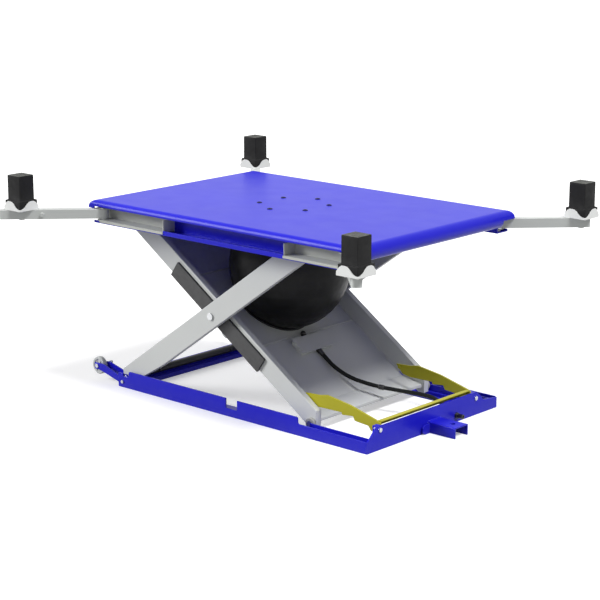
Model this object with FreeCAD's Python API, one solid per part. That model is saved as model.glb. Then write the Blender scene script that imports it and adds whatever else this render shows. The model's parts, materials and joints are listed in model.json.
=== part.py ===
import FreeCAD, Part
import math
import os
from FreeCAD import Vector

# Mid-rise car lift, raised: base rails, two pairs of scissor legs, a deck on top,
# four swing arms with rubber blocks and an air bag between the inner legs and the deck.
# Millimetres. X runs along the lift with the tow hitch at +X, Z is up, the floor is Z = 0
# and X = 0, Y = 0 lies under the middle of the deck.

# Driving sizes: deck
deck_length = 1500.0
deck_width = 1010.0
deck_rise = 68.0
edge_roll = 35.0
side_roll = 26.0
deck_sheet = 6.0

# Driving sizes: linkage
leg_span = 1325.0
raise_angle = 34.95
pivot_from_end = 82.0
rear_pivot_x = pivot_from_end - deck_length / 2
low_pivot_z = 45.0

# Driving sizes: base
rail_inset = 60.0
rail_half_width = deck_width / 2 - rail_inset
rail_wall = 6.0
rail_height = 80.0
rail_low_height = 50.0
rail_tail = 41.0
rail_rear_x = rear_pivot_x - rail_tail
plate_past_legs = 118.0
front_plate_x = rear_pivot_x + leg_span + plate_past_legs

# Driving sizes: legs, measured across the lift from its middle plane
outer_leg_inset = 15.0
outer_leg_sheet = 26.0
leg_space = 24.0
inner_leg_sheet = 30.0
outer_leg_out = rail_half_width - outer_leg_inset
outer_leg_in = outer_leg_out - outer_leg_sheet
outer_leg_depth = 100.0
inner_leg_out = outer_leg_in - leg_space
inner_leg_in = inner_leg_out - inner_leg_sheet
inner_leg_depth = 88.0

# Clearances
running_fit = 0.1
side_gap = 0.4
seat_gap = 0.3

# Places of the linkage pivots in the side view
rise = math.radians(raise_angle)
reach = leg_span * math.cos(rise)
low_rear = Vector(rear_pivot_x, 0, low_pivot_z)
low_front = low_rear + Vector(reach, 0, 0)
top_rear = low_rear + Vector(0, 0, leg_span * math.sin(rise))
top_front = top_rear + Vector(reach, 0, 0)
centre = (low_rear + top_front) * 0.5
inner_along = Vector(math.cos(rise), 0, -math.sin(rise))
inner_up = Vector(math.sin(rise), 0, math.cos(rise))
outer_along = Vector(math.cos(rise), 0, math.sin(rise))
outer_up = Vector(-math.sin(rise), 0, math.cos(rise))

# Levels and edges that several pieces share
deck_top = top_rear.z + deck_rise
deck_under = deck_top - deck_sheet
deck_half_length = deck_length / 2
deck_half_width = deck_width / 2
deck_end = deck_half_length + edge_roll
deck_side = deck_half_width + side_roll
roll_z = deck_top - edge_roll
side_roll_z = deck_top - side_roll
rail_inner = rail_half_width - rail_wall
plate_back_x = front_plate_x - rail_wall


def box(x0, x1, y0, y1, z0, z1):
    return Part.makeBox(x1 - x0, y1 - y0, z1 - z0, Vector(x0, y0, z0))


def prism(points, direction):
    """Solid between a flat outline and the same outline moved along a direction."""
    return Part.Face(Part.makePolygon(points + [points[0]])).extrude(direction)


def side_prism(points, y0, y1):
    """Outline in X and Z, as thick as from y0 to y1."""
    return prism([Vector(x, y0, z) for x, z in points], Vector(0, y1 - y0, 0))


def end_prism(points, x0, x1):
    """Outline in Y and Z, as thick as from x0 to x1."""
    return prism([Vector(x0, y, z) for y, z in points], Vector(x1 - x0, 0, 0))


def plan_prism(points, z0, z1):
    """Outline in X and Y, as thick as from z0 to z1."""
    return prism([Vector(x, y, z0) for x, y in points], Vector(0, 0, z1 - z0))


def rod_y(at, radius, y0, y1):
    return Part.makeCylinder(radius, y1 - y0, Vector(at.x, y0, at.z), Vector(0, 1, 0))


def rod_x(y, z, radius, x0, x1):
    return Part.makeCylinder(radius, x1 - x0, Vector(x0, y, z), Vector(1, 0, 0))


def rod_z(x, y, radius, z0, z1):
    return Part.makeCylinder(radius, z1 - z0, Vector(x, y, z0), Vector(0, 0, 1))


def hexagon_head(at, axis, radius, height):
    """Six-sided bolt head that stands on a point, along an axis."""
    turn = FreeCAD.Rotation(Vector(0, 0, 1), axis)
    corners = [Vector(radius * math.cos(math.radians(60 * i)), radius * math.sin(math.radians(60 * i)), 0)
               for i in range(6)]
    return prism([at + turn.multVec(corner) for corner in corners], axis * height)


def union(shapes):
    whole = shapes[0]
    for shape in shapes[1:]:
        whole = whole.fuse(shape)
    return whole.removeSplitter()


def mirror_y(shape):
    return shape.mirror(Vector(0, 0, 0), Vector(0, 1, 0))


def mirror_x(shape):
    return shape.mirror(Vector(0, 0, 0), Vector(1, 0, 0))


def moved(shape, x, y):
    copy = shape.copy()
    copy.translate(Vector(x, y, 0))
    return copy


def soften(shape, radius, chosen):
    """Fillet the edges that a test picks."""
    edges = [edge for edge in shape.Edges if chosen(edge)]
    return shape.makeFillet(radius, edges) if edges else shape


def upright(edge):
    return abs(edge.tangentAt(edge.FirstParameter).z) > 0.999 and edge.Curve.TypeId == "Part::GeomLine"


def across(edge):
    return abs(edge.tangentAt(edge.FirstParameter).y) > 0.999 and edge.Curve.TypeId == "Part::GeomLine"


def save(name, *solids):
    shape = solids[0] if len(solids) == 1 else Part.makeCompound(list(solids))
    shape.exportStep("parts/" + name + ".step")
    sizes[name] = (len(shape.Solids), shape.Volume, shape.isValid())


sizes = {}
os.makedirs("parts", exist_ok=True)

# Base rail: an angle with a stepped wall, a floor flange and, in front, a guide for the inner leg
rail_floor = 6.0
flange_past_leg = 15.0
flange_inner = inner_leg_in - flange_past_leg
rail_rear_height = 52.0
rear_low_length = 68.0
rear_step_x = rail_rear_x + rear_low_length
front_low_length = 380.0
front_step_x = front_plate_x - front_low_length
rail_middle_x = (rail_rear_x + front_plate_x) / 2
step_radius = 9.0
notch_back = 58.0
notch_length = 68.0
notch_rear_x = rail_middle_x - notch_back
notch_front_x = notch_rear_x + notch_length
notch_bottom = 36.0
notch_radius = 5.0
track_lead = 46.0
track_start_x = low_front.x - track_lead
track_height = 14.0
guide_lead = 8.0
guide_sheet = 4.0
track_width = 17.0
guide_start_x = low_front.x + guide_lead
guide_inner = inner_leg_out + track_width
guide_outer = guide_inner + guide_sheet
pin_lug_radius = 17.0
pin_radius = 12.0
lug_thickness = 6.0
track_inner = inner_leg_out + side_gap
track_top = rail_floor + track_height


def rail_side():
    """Side outline of the rail's wall as one solid across its thickness."""
    full = box(rail_rear_x, plate_back_x, -rail_half_width, -flange_inner, 0, rail_height)
    rear = box(rail_rear_x, rear_step_x, -rail_half_width, -flange_inner, rail_rear_height, rail_height)
    front = box(front_step_x, plate_back_x, -rail_half_width, -flange_inner, rail_low_height, rail_height)
    notch = box(notch_rear_x, notch_front_x, -rail_half_width, -flange_inner, notch_bottom, rail_height)
    notch = soften(notch, notch_radius, lambda e: across(e) and e.CenterOfMass.z < rail_height)
    shape = full.cut(rear).cut(front).cut(notch)
    corners = [(rear_step_x, rail_height), (rear_step_x, rail_rear_height),
               (front_step_x, rail_height), (front_step_x, rail_low_height)]

    def at_step(edge):
        middle = edge.CenterOfMass
        return across(edge) and any(abs(middle.x - x) < side_gap and abs(middle.z - z) < side_gap
                                    for x, z in corners)
    return soften(shape, step_radius, at_step)


def rail():
    length = plate_back_x - rail_rear_x
    angle = [(-rail_half_width, 0), (-flange_inner, 0), (-flange_inner, rail_floor),
             (-rail_inner, rail_floor), (-rail_inner, rail_height), (-rail_half_width, rail_height)]
    sheet = end_prism(angle, rail_rear_x, rail_rear_x + length)
    sheet = sheet.common(rail_side())
    track = box(track_start_x, plate_back_x, -guide_inner, -track_inner, rail_floor, track_top)
    guide = box(guide_start_x, plate_back_x, -guide_outer, -guide_inner, rail_floor, rail_low_height)
    lug = rod_y(low_rear, pin_lug_radius, -rail_inner, -rail_inner + lug_thickness)
    foot = box(low_rear.x - pin_lug_radius, low_rear.x + pin_lug_radius, -rail_inner,
               -rail_inner + lug_thickness, rail_floor, low_rear.z)
    bore = rod_y(low_rear, pin_radius, -rail_inner, -rail_inner + lug_thickness)
    return union([sheet, track, guide, lug, foot]).cut(bore)


# Front plate: closes the rails in front and carries the tow hitch
plate_height = 103.0
plate_outline_shares = [(-1, 0), (-1, 0.5), (-0.97, 0.56), (-0.863, 1), (0.654, 1), (0.712, 0.845),
                        (0.775, 0.563), (1, 0.447), (1, 0)]
inlet_y = 152.0
inlet_z = 30.0
inlet_radius = 10.0
latch_bolt_offset = 21.0
latch_near_inset = 9.0
latch_far_inset = 81.0
latch_near_y = latch_near_inset - inner_leg_in
latch_far_y = inner_leg_in - latch_far_inset
latch_bolt_near_y = latch_near_y - latch_bolt_offset
latch_bolt_near_z = 86.0
latch_bolt_far_y = latch_far_y + latch_bolt_offset
latch_bolt_far_z = 76.0
latch_bolt_near = (latch_bolt_near_y, latch_bolt_near_z)
latch_bolt_far = (latch_bolt_far_y, latch_bolt_far_z)
bolt_radius = 6.0
bolt_head = 5.0
latch_bolt_head_share = 1.7


def front_plate():
    outline = [(y * rail_half_width, z * plate_height) for y, z in plate_outline_shares]
    plate = end_prism(outline, plate_back_x, front_plate_x)
    holes = [rod_x(y, z, bolt_radius + running_fit, plate_back_x, front_plate_x)
             for y, z in (latch_bolt_near, latch_bolt_far)]
    holes.append(rod_x(inlet_y, inlet_z, inlet_radius + running_fit, plate_back_x, front_plate_x))
    for hole in holes:
        plate = plate.cut(hole)
    return plate


# Rear cross channel between the rails
channel_length = 75.0
channel_front_x = rail_rear_x + channel_length
channel_front_height = 19.0
channel_rear_height = 50.0
channel_sheet = 5.0
channel_side_gap = 41.0
channel_half_width = rail_inner - channel_side_gap


def rear_cross_channel():
    outline = [(rail_rear_x, 0), (channel_front_x, 0), (channel_front_x, channel_front_height),
               (channel_front_x - channel_sheet, channel_front_height),
               (channel_front_x - channel_sheet, channel_sheet), (rail_rear_x + channel_sheet, channel_sheet),
               (rail_rear_x + channel_sheet, channel_rear_height), (rail_rear_x, channel_rear_height)]
    channel = side_prism(outline, -flange_inner, flange_inner)
    wing = box(rail_rear_x, rail_rear_x + channel_sheet, flange_inner, channel_half_width,
               rail_floor, channel_rear_height)
    return union([channel, wing, mirror_y(wing)])


# Tow hitch: an upside-down channel in front of the plate, with a rounded lug beside it
hitch_length = 143.0
hitch_half_width = 45.0
hitch_height = 48.0
hitch_sheet = 6.0
hitch_pin_radius = 11.0
lug_reach = 48.0
lug_height = 41.0
lug_round_share = 0.45
lug_sheet = 6.0
lug_offset = 6.0
hitch_end_x = front_plate_x + hitch_length
hitch_pin_x = hitch_end_x - hitch_half_width


def tow_hitch():
    outer = box(front_plate_x, hitch_end_x, -hitch_half_width, hitch_half_width, 0, hitch_height)
    outer = soften(outer, hitch_sheet, lambda e: e.CenterOfMass.z > hitch_height - seat_gap
                   and abs(e.tangentAt(e.FirstParameter).x) > 0.999)
    hollow = box(front_plate_x, hitch_end_x, -hitch_half_width + hitch_sheet,
                 hitch_half_width - hitch_sheet, 0, hitch_height - hitch_sheet)
    shape = outer.cut(hollow)
    shape = shape.cut(rod_z(hitch_pin_x, 0, hitch_pin_radius, 0, hitch_height))
    lug = box(front_plate_x + lug_offset, front_plate_x + lug_offset + lug_sheet,
              -hitch_half_width - lug_reach, -hitch_half_width, 0, lug_height)
    lug = soften(lug, lug_height * lug_round_share, lambda e: abs(e.tangentAt(e.FirstParameter).x) > 0.999
                 and e.CenterOfMass.y < -hitch_half_width - lug_reach + seat_gap)
    return union([shape, lug])


# Transport wheels behind the rear corners, each between two cheeks
wheel_overhang = 145.0
wheel_x = rail_rear_x - wheel_overhang
wheel_z = 69.0
wheel_radius = 41.0
wheel_width = 28.0
wheel_hub_radius = 15.0
wheel_bore = 6.0
wheel_inset = 20.0
wheel_y = rail_half_width - wheel_inset
cheek_sheet = 5.0
cheek_half_height = 15.0
cheek_bottom_front = 36.0
inner_cheek_rise = 14.0
cheek_gap = 0.8
tread_bevel = 4.0
dish_depth = 4.0
dish_share = 0.68
axle_head_radius = 10.0
axle_head = 4.0
spacer_overhang = 98.0
spacer_x = rail_rear_x - spacer_overhang
spacer_z = 88.0
spacer_radius = 7.0
spacer_stand = 16.0
wheel_outer_y = wheel_y + wheel_width / 2
wheel_inner_y = wheel_y - wheel_width / 2
wheel_centre = Vector(wheel_x, 0, wheel_z)
spacer_centre = Vector(spacer_x, 0, spacer_z)
cheek_outer_y = wheel_outer_y + cheek_gap
cheek_inner_y = wheel_inner_y - cheek_gap


def cheek(top_rise):
    """Side outline of a wheel cheek, from the wheel pin to the rail's rear end."""
    front = rail_rear_x
    top_front = rail_rear_height + top_rise
    return [(wheel_x - cheek_half_height, wheel_z + cheek_half_height),
            (wheel_x - cheek_half_height, wheel_z - cheek_half_height),
            (wheel_x + cheek_half_height, wheel_z - cheek_half_height),
            (front, cheek_bottom_front - cheek_half_height), (front, top_front),
            (spacer_x, wheel_z + cheek_half_height + top_rise / 2)]


def wheel_bracket():
    """Two cheeks joined by a web that is welded to the rail's rear end."""
    outer = side_prism(cheek(0), -cheek_outer_y - cheek_sheet, -cheek_outer_y)
    inner = side_prism(cheek(inner_cheek_rise), -cheek_inner_y, -cheek_inner_y + cheek_sheet)
    web = box(rail_rear_x - cheek_sheet, rail_rear_x, -cheek_outer_y - cheek_sheet,
              -cheek_inner_y + cheek_sheet, cheek_bottom_front - cheek_half_height, rail_rear_height)
    shape = union([outer, inner, web])
    return shape.cut(rod_y(wheel_centre, wheel_bore, -cheek_outer_y - cheek_sheet,
                           -cheek_inner_y + cheek_sheet))


def transport_wheel():
    tread = rod_y(wheel_centre, wheel_radius, -wheel_outer_y, -wheel_inner_y)
    tread = tread.makeChamfer(tread_bevel, [e for e in tread.Edges if e.Closed])
    dish = rod_y(wheel_centre, wheel_radius * dish_share, -wheel_outer_y, -wheel_outer_y + dish_depth)
    dish = dish.cut(rod_y(wheel_centre, wheel_hub_radius, -wheel_outer_y, -wheel_outer_y + dish_depth))
    other = dish.copy()
    other.translate(Vector(0, wheel_width - dish_depth, 0))
    bore = rod_y(wheel_centre, wheel_bore + running_fit, -wheel_outer_y, -wheel_inner_y)
    return tread.cut(dish).cut(other).cut(bore)


def wheel_axle():
    outer = -cheek_outer_y - cheek_sheet
    inner = -cheek_inner_y + cheek_sheet
    shank = rod_y(wheel_centre, wheel_bore, outer, inner)
    heads = [hexagon_head(Vector(wheel_x, outer, wheel_z), Vector(0, -1, 0), axle_head_radius, axle_head),
             hexagon_head(Vector(wheel_x, inner, wheel_z), Vector(0, 1, 0), axle_head_radius, axle_head)]
    return union([shank] + heads)


def cheek_spacer():
    return rod_y(spacer_centre, spacer_radius, -cheek_inner_y + cheek_sheet, -cheek_inner_y + spacer_stand)


# Base pivot pins: hold the outer legs in the rail lugs; a keeper bolt sits low on the wall
keeper_back = 14.0
keeper_x = low_rear.x - keeper_back
keeper_z = 26.0
keeper_radius = 8.0
keeper_head = 5.0
pin_past_leg = 18.0
pin_end = outer_leg_in - pin_past_leg
pin_head_radius = 15.0
pin_head = 2.6


def base_pivot_pin():
    outer = -rail_inner
    pin = rod_y(low_rear, pin_radius, outer, -pin_end)
    collar_start = outer + lug_thickness
    return union([pin, rod_y(low_rear, pin_head_radius, collar_start, collar_start + pin_head)])


def keeper_bolt():
    at = Vector(keeper_x, -rail_half_width, keeper_z)
    return hexagon_head(at, Vector(0, -1, 0), keeper_radius, keeper_head)


# Outer legs: straight bars with a tapered foot
outer_offset_low = -4.2
outer_offset_top = 2.9
outer_end_back = 22.0
outer_end_x = low_rear.x - outer_end_back
outer_foot_length = 280.0
outer_foot_gap = 2.0
outer_foot_drop = 35.0
leg_edge = 3.0


def leg_bar(start, along, up, offset_start, offset_end, depth, y0, y1, tail):
    """Bar along a pivot line, with its middle moved off that line at each end."""
    slope = (offset_end - offset_start) / leg_span
    first = start + up * (offset_start - tail * slope) - along * tail
    last = start + along * leg_span + up * offset_end
    half = up * (depth / 2)
    corners = [first - half, last - half, last + half, first + half]
    bar = side_prism([(p.x, p.z) for p in corners], y0, y1)
    return bar.fuse(rod_y(last, depth / 2, y0, y1)).removeSplitter()


def outer_leg():
    y0 = -outer_leg_out
    y1 = -outer_leg_in
    bar = leg_bar(low_rear, outer_along, outer_up, outer_offset_low, outer_offset_top,
                  outer_leg_depth, y0, y1, outer_leg_depth)
    behind = box(outer_end_x - outer_leg_depth * 2, outer_end_x, y0, y1,
                 -outer_leg_depth * 2, rail_height * 2)
    bar = bar.cut(behind)
    heel = low_rear - outer_up * outer_foot_drop - outer_along * outer_leg_depth
    toe = low_rear + outer_along * outer_foot_length + outer_up * (outer_offset_low - outer_leg_depth / 2)
    knee = low_rear - outer_up * outer_foot_drop
    below = [(heel.x, heel.z), (knee.x, knee.z), (toe.x, toe.z), (toe.x, toe.z - outer_leg_depth * 2),
             (heel.x, heel.z - outer_leg_depth * 2)]
    bar = bar.cut(side_prism(below, y0, y1))
    bar = bar.cut(box(outer_end_x, low_rear.x + outer_foot_length, y0, y1, -outer_leg_depth,
                      rail_floor + outer_foot_gap))
    bar = soften_bar(bar, y0, y1)
    bar = bar.cut(rod_y(low_rear, pin_radius + running_fit, y0, y1))
    bar = bar.cut(rod_y(centre, centre_pin_radius + running_fit, y0, y1))
    return bar.cut(rod_y(top_front, axle_radius, y0, y1))


def soften_bar(bar, y0, y1):
    """Round the long edges of a bar on its two sides."""
    return soften(bar, leg_edge, lambda e: e.Length > outer_leg_depth * 2
                  and abs(e.tangentAt(e.FirstParameter).y) < 0.001)


# Cross tube between the outer legs, around the base pivot pins
cross_tube_radius = 17.0
nipple_y = 236.0
nipple_radius = 5.0
nipple_length = 7.0


def outer_cross_tube():
    tube = rod_y(low_rear, cross_tube_radius, -outer_leg_in, outer_leg_in)
    bore = rod_y(low_rear, pin_radius + running_fit, -outer_leg_in, -pin_end + side_gap)
    tube = tube.cut(bore).cut(mirror_y(bore))
    nipple = rod_x(nipple_y, low_rear.z, nipple_radius, low_rear.x + pin_radius,
                   low_rear.x + cross_tube_radius + nipple_length)
    return union([tube, nipple, mirror_y(nipple)])


# Centre pivot: a shouldered bolt through each pair of legs
centre_pin_radius = 14.0
centre_head_radius = 15.5
centre_head = 7.0
centre_collar_radius = 22.0


def centre_bolt():
    pin = rod_y(centre, centre_pin_radius, -outer_leg_out - centre_head, -inner_leg_in)
    head = rod_y(centre, centre_head_radius, -outer_leg_out - centre_head, -outer_leg_out - side_gap)
    collar = rod_y(centre, centre_collar_radius, -outer_leg_in + side_gap, -inner_leg_out - side_gap)
    return union([pin, head, collar])


# Rollers and their stub axles
axle_radius = 10.0
upper_roller_radius = 38.0
roller_width = 21.0
roller_bevel_share = 0.12
lower_roller_radius = 24.6
lower_roller_width = 14.0
axle_cap = 1.6
axle_cap_radius = 14.0


def roller(at, radius, y_near_leg, width):
    """Roller outside a leg, on the near side of the lift."""
    y1 = -y_near_leg - side_gap
    body = rod_y(at, radius, y1 - width, y1)
    body = body.makeChamfer(width * roller_bevel_share, [e for e in body.Edges if e.Closed])
    return body.cut(rod_y(at, axle_radius + running_fit, y1 - width, y1))


def stub_axle(at, y_out, y_in, width):
    """Axle through a leg and its roller, with a cap on the roller's outer face."""
    cap_start = -y_out - side_gap - width - side_gap
    pin = rod_y(at, axle_radius, cap_start, -y_in)
    return union([pin, rod_y(at, axle_cap_radius, cap_start - axle_cap, cap_start)])


# Inner legs: straight bars, cut off upright and flat at the foot
inner_offset_top = -5.6
inner_offset_low = 17.2
inner_end_past = 25.0
inner_end_x = low_front.x + inner_end_past
inner_foot_z = 20.0


def inner_leg():
    y0 = -inner_leg_out
    y1 = -inner_leg_in
    bar = leg_bar(low_front, inner_along * -1, inner_up, inner_offset_low, inner_offset_top,
                  inner_leg_depth, y0, y1, inner_leg_depth)
    beyond = box(inner_end_x, inner_end_x + inner_leg_depth * 2, y0, y1, -inner_leg_depth * 2,
                 inner_leg_depth * 3)
    under = box(low_front.x - inner_leg_depth * 2, inner_end_x, y0, y1, -inner_leg_depth * 2, inner_foot_z)
    bar = soften_bar(bar.cut(beyond).cut(under), y0, y1)
    bar = bar.cut(rod_y(top_rear, pin_radius + running_fit, y0, y1))
    bar = bar.cut(rod_y(centre, centre_pin_radius + running_fit, y0, y1))
    return bar.cut(rod_y(low_front, axle_radius, y0, y1))


def on_inner(along, up):
    """Point of the side view on the inner frame, from the upper rear pivot."""
    return top_rear + inner_along * along + inner_up * up


# Plate between the inner legs, the flatter plate below it and its turned-down lip
plate_drop = 30.0
plate_sheet = 5.0
plate_start = 42.0
plate_end_back = 103.0
plate_end = leg_span - plate_end_back
lip_past = 12.0
lip_rise = 13.0
lip_x = low_front.x + lip_past
lip_z = low_front.z + lip_rise
lip_drop = 12.0
lip_sheet = 5.0


def inner_plate():
    corners = [on_inner(plate_start, -plate_drop), on_inner(plate_end, -plate_drop),
               on_inner(plate_end, -plate_drop - plate_sheet),
               on_inner(plate_start, -plate_drop - plate_sheet)]
    return side_prism([(p.x, p.z) for p in corners], -inner_leg_in, inner_leg_in)


def lower_cross_plate():
    start = on_inner(plate_end, -plate_drop)
    under = on_inner(plate_end, -plate_drop - plate_sheet)
    outline = [(start.x, start.z), (lip_x, lip_z), (lip_x, lip_z - lip_drop),
               (lip_x - lip_sheet, lip_z - lip_drop), (lip_x - lip_sheet, lip_z - plate_sheet),
               (under.x, under.z)]
    return side_prism(outline, -inner_leg_in, inner_leg_in)


# Wear pads on the outer side of the inner legs
pad_thickness = 12.0
pad_back = 310.5
pad_ahead = 315.5
pad_start = leg_span / 2 - pad_back
pad_end = leg_span / 2 + pad_ahead
pad_low = -50.0
pad_high = 25.0
pad_lean = 11.0
collar_gap = 2.0


def wear_pad():
    corners = [on_inner(pad_start, pad_low), on_inner(pad_end, pad_low + pad_lean),
               on_inner(pad_end, pad_high + pad_lean), on_inner(pad_start, pad_high)]
    pad = side_prism([(p.x, p.z) for p in corners], -inner_leg_out - pad_thickness, -inner_leg_out)
    return pad.cut(rod_y(centre, centre_collar_radius + collar_gap, -inner_leg_out - pad_thickness,
                         -inner_leg_out))


# Cover box for the air valve on the plate, and the black elbow above it
cover_ahead_share = 0.173208
cover_length = 75.0
cover_start = leg_span * (0.5 + cover_ahead_share)
cover_end = cover_start + cover_length
cover_half_width = 100.0
cover_height = 22.0
cover_sheet = 2.5
cover_round_share = 2
elbow_ahead = 16.0
elbow_along = cover_start - elbow_ahead
elbow_radius = 12.0
elbow_height = 19.0
elbow_pipe = 7.0
elbow_bevel_share = 0.4


def inclined_box(s0, s1, half_width, n0, n1):
    corners = [on_inner(s0, n0), on_inner(s1, n0), on_inner(s1, n1), on_inner(s0, n1)]
    return side_prism([(p.x, p.z) for p in corners], -half_width, half_width)


def cover_box():
    outside = inclined_box(cover_start, cover_end, cover_half_width, -plate_drop, -plate_drop + cover_height)
    outside = soften(outside, cover_sheet * cover_round_share,
                     lambda e: abs(e.tangentAt(e.FirstParameter).dot(inner_up)) > 0.999)
    inside = inclined_box(cover_start + cover_sheet, cover_end - cover_sheet, cover_half_width - cover_sheet,
                          -plate_drop, -plate_drop + cover_height - cover_sheet)
    return outside.cut(inside)


def air_elbow():
    foot = on_inner(elbow_along - elbow_radius, -plate_drop)
    post = Part.makeCylinder(elbow_radius, elbow_height, foot, inner_up)
    post = post.makeChamfer(elbow_radius * elbow_bevel_share, [post.Edges[0]])
    side = on_inner(elbow_along - elbow_radius, -plate_drop + elbow_height / 2)
    pipe = Part.makeCylinder(elbow_pipe, cover_start - elbow_along + elbow_radius, side, inner_along)
    return union([post, pipe])


# Air bag: an egg of a bag held between a ring on the plate and a ring under the deck
bag_ahead_share = 0.056604
bag_rise_share = 0.132453
bag_height_share = 0.218868
bag_side_gap = 78.0
bag_x = centre.x + leg_span * bag_ahead_share
bag_z = centre.z + leg_span * bag_rise_share
bag_radius = inner_leg_in - bag_side_gap
bag_half_height = leg_span * bag_height_share
bag_wall = 8.0
bag_rows = 18
bag_plate_back = 17.5
bag_plate_along = leg_span / 2 - bag_plate_back
bag_ring_radius = 185.0
bag_ring = 8.0
bag_top_back = 26.0
bag_top_x = -bag_top_back
bag_top_radius = 175.0
bag_top_ring = 10.0


def bag_lower_ring():
    foot = on_inner(bag_plate_along, -plate_drop)
    return Part.makeCylinder(bag_ring_radius, bag_ring, foot, inner_up)


def bag_upper_ring():
    ring = rod_z(bag_top_x, 0, bag_top_radius, deck_under - bag_top_ring, deck_under)
    for x, y in bolt_places():
        ring = ring.cut(rod_z(x, y, deck_bolt_radius, deck_under - bag_top_ring, deck_under))
    return ring


def airbag():
    """Closed rubber skin: an egg cut flat by both rings, and hollow inside."""
    return bag_egg(0).cut(bag_egg(bag_wall))


def bag_egg(inset):
    """Solid egg with an elliptic side, smaller all round by the inset."""
    turns = [math.pi * row / bag_rows for row in range(bag_rows + 1)]
    points = [Vector(bag_x + (bag_radius - inset) * math.sin(turn), 0,
                     bag_z - (bag_half_height - inset) * math.cos(turn)) for turn in turns]
    points[0].x = bag_x
    points[-1].x = bag_x
    face = Part.Face(Part.makePolygon(points + [points[0]]))
    ball = face.revolve(Vector(bag_x, 0, bag_z), Vector(0, 0, 1), 360)
    ball = ball if ball.Volume > 0 else ball.reversed()
    reach_out = bag_radius * 2
    above = box(bag_x - reach_out, bag_x + reach_out, -reach_out, reach_out,
                deck_under - bag_top_ring - seat_gap - inset, deck_under + reach_out)
    low = -plate_drop + bag_ring + seat_gap + inset
    below = inclined_box(0, leg_span, reach_out, low - reach_out, low)
    return ball.cut(above).cut(below)


# Air hose: from the cover box down the plate, over the lip and to the inlet in the front plate
hose_radius = 9.0
bend_share = 0.45
hose_rear_route = [(114.4, 5.0, 233.7), (157.0, 5.0, 203.9), (215.0, -3.0, 172.0), (284.0, 14.0, 137.0),
                   (352.0, 42.0, 116.0), (430.0, 64.0, 107.0)]
hose_front_route = [(431.0, 64.3, 107.0), (500.0, 84.0, 103.0), (572.0, 108.0, 100.0), (636.0, 130.0, 95.0),
                    (690.0, 144.0, 80.0), (733.0, 151.0, 47.0)]


def hose(route, name):
    """Tube along straight runs joined by tangent arcs."""
    points = [Vector(*p) for p in route]
    edges = []
    start = points[0]
    radii = []
    for before, corner, after in zip(points, points[1:], points[2:]):
        run_in = corner - before
        run_out = after - corner
        turn = run_in.getAngle(run_out)
        back = bend_share * min(run_in.Length, run_out.Length)
        radii.append(back / math.tan(turn / 2))
        first = corner - run_in.normalize() * back
        last = corner + run_out.normalize() * back
        to_middle = (last + first) * 0.5 - corner
        bulge = radii[-1] / math.cos(turn / 2) - radii[-1]
        middle = corner + to_middle.normalize() * bulge
        edges.append(Part.LineSegment(start, first).toShape())
        edges.append(Part.Arc(first, middle, last).toShape())
        start = last
    edges.append(Part.LineSegment(start, points[-1]).toShape())
    path = Part.Wire(edges)
    ring = Part.Wire(Part.Circle(points[0], points[1] - points[0], hose_radius).toShape())
    tube = path.makePipeShell([ring], True, False)
    print(name, "radii", [round(r) for r in radii], "volume share",
          round(tube.Volume / (math.pi * hose_radius ** 2 * path.Length), 4))
    return tube


# Air inlet in the front plate
inlet_socket = 14.0
inlet_reach = 37.0
inlet_nut = 9.0
inlet_nut_radius = 14.0
inlet_bore = 5.0
inlet_bore_depth = 15.0
inlet_turn_x = plate_back_x - inlet_radius - seat_gap


def air_inlet():
    """Straight stem through the front plate, with an elbow behind it that takes the hose's end."""
    mouth = Vector(*hose_front_route[-1])
    inward = (mouth - Vector(*hose_front_route[-2])).normalize()
    socket = Part.makeCylinder(inlet_radius, inlet_socket, mouth, inward)
    bend = Part.makeSphere(inlet_radius, mouth + inward * inlet_socket)
    rear = mouth + inward * inlet_socket
    turn = Vector(inlet_turn_x, inlet_y, inlet_z)
    neck = turn - rear
    link = Part.makeCylinder(inlet_radius, neck.Length, rear, neck)
    stem = rod_x(inlet_y, inlet_z, inlet_radius, inlet_turn_x, front_plate_x + inlet_reach)
    collar = hexagon_head(Vector(front_plate_x, inlet_y, inlet_z), Vector(1, 0, 0),
                          inlet_nut_radius, inlet_nut)
    tip = rod_x(inlet_y, inlet_z, inlet_bore, front_plate_x + inlet_reach - inlet_bore_depth,
                front_plate_x + inlet_reach)
    knee = Part.makeSphere(inlet_radius, turn)
    return union([stem, collar, link, bend, knee, socket]).cut(tip)


# Safety latch: a yellow frame of two notched arms and a cross bar, hinged behind the front plate
latch_back = 14.0
latch_pivot_z = 90.0
latch_pivot = Vector(plate_back_x - latch_back, 0, latch_pivot_z)
latch_pin_radius = 6.0
latch_sheet = 8.0
latch_reach = 403.0
latch_height = 81.0
arm_outline_shares = [(-1, 0.84), (-0.801, 0.9), (-0.695, 1), (-0.382, 0.78), (-0.045, 0.36), (0.022, 0.25),
                      (0.03, -0.02), (0.007, -0.15), (-0.022, -0.15), (-0.094, -0.3), (-0.112, -0.185),
                      (-0.134, -0.06), (-0.315, 0.01), (-0.34, 0.235), (-0.484, 0.16), (-0.496, 0.284),
                      (-0.811, 0.26), (-0.908, 0.37)]
bar_depth = 20.0
bar_low = 95.0
bar_high = 115.0
bar_sheet = 4.0
bar_rear_x = latch_pivot.x - bar_depth + bar_sheet * 2
bar_front_x = bar_rear_x + bar_depth
block_width = 22.0
block_depth = 27.0
block_rear_x = plate_back_x - block_depth
block_low = 66.0
block_high = 103.0
tip_bolt_share = (-0.95, 0.69)
tip_bolt = latch_pivot + Vector(tip_bolt_share[0] * latch_reach, 0, tip_bolt_share[1] * latch_height)
tip_bolt_radius = 7.0
tip_bolt_head = 5.0


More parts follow.
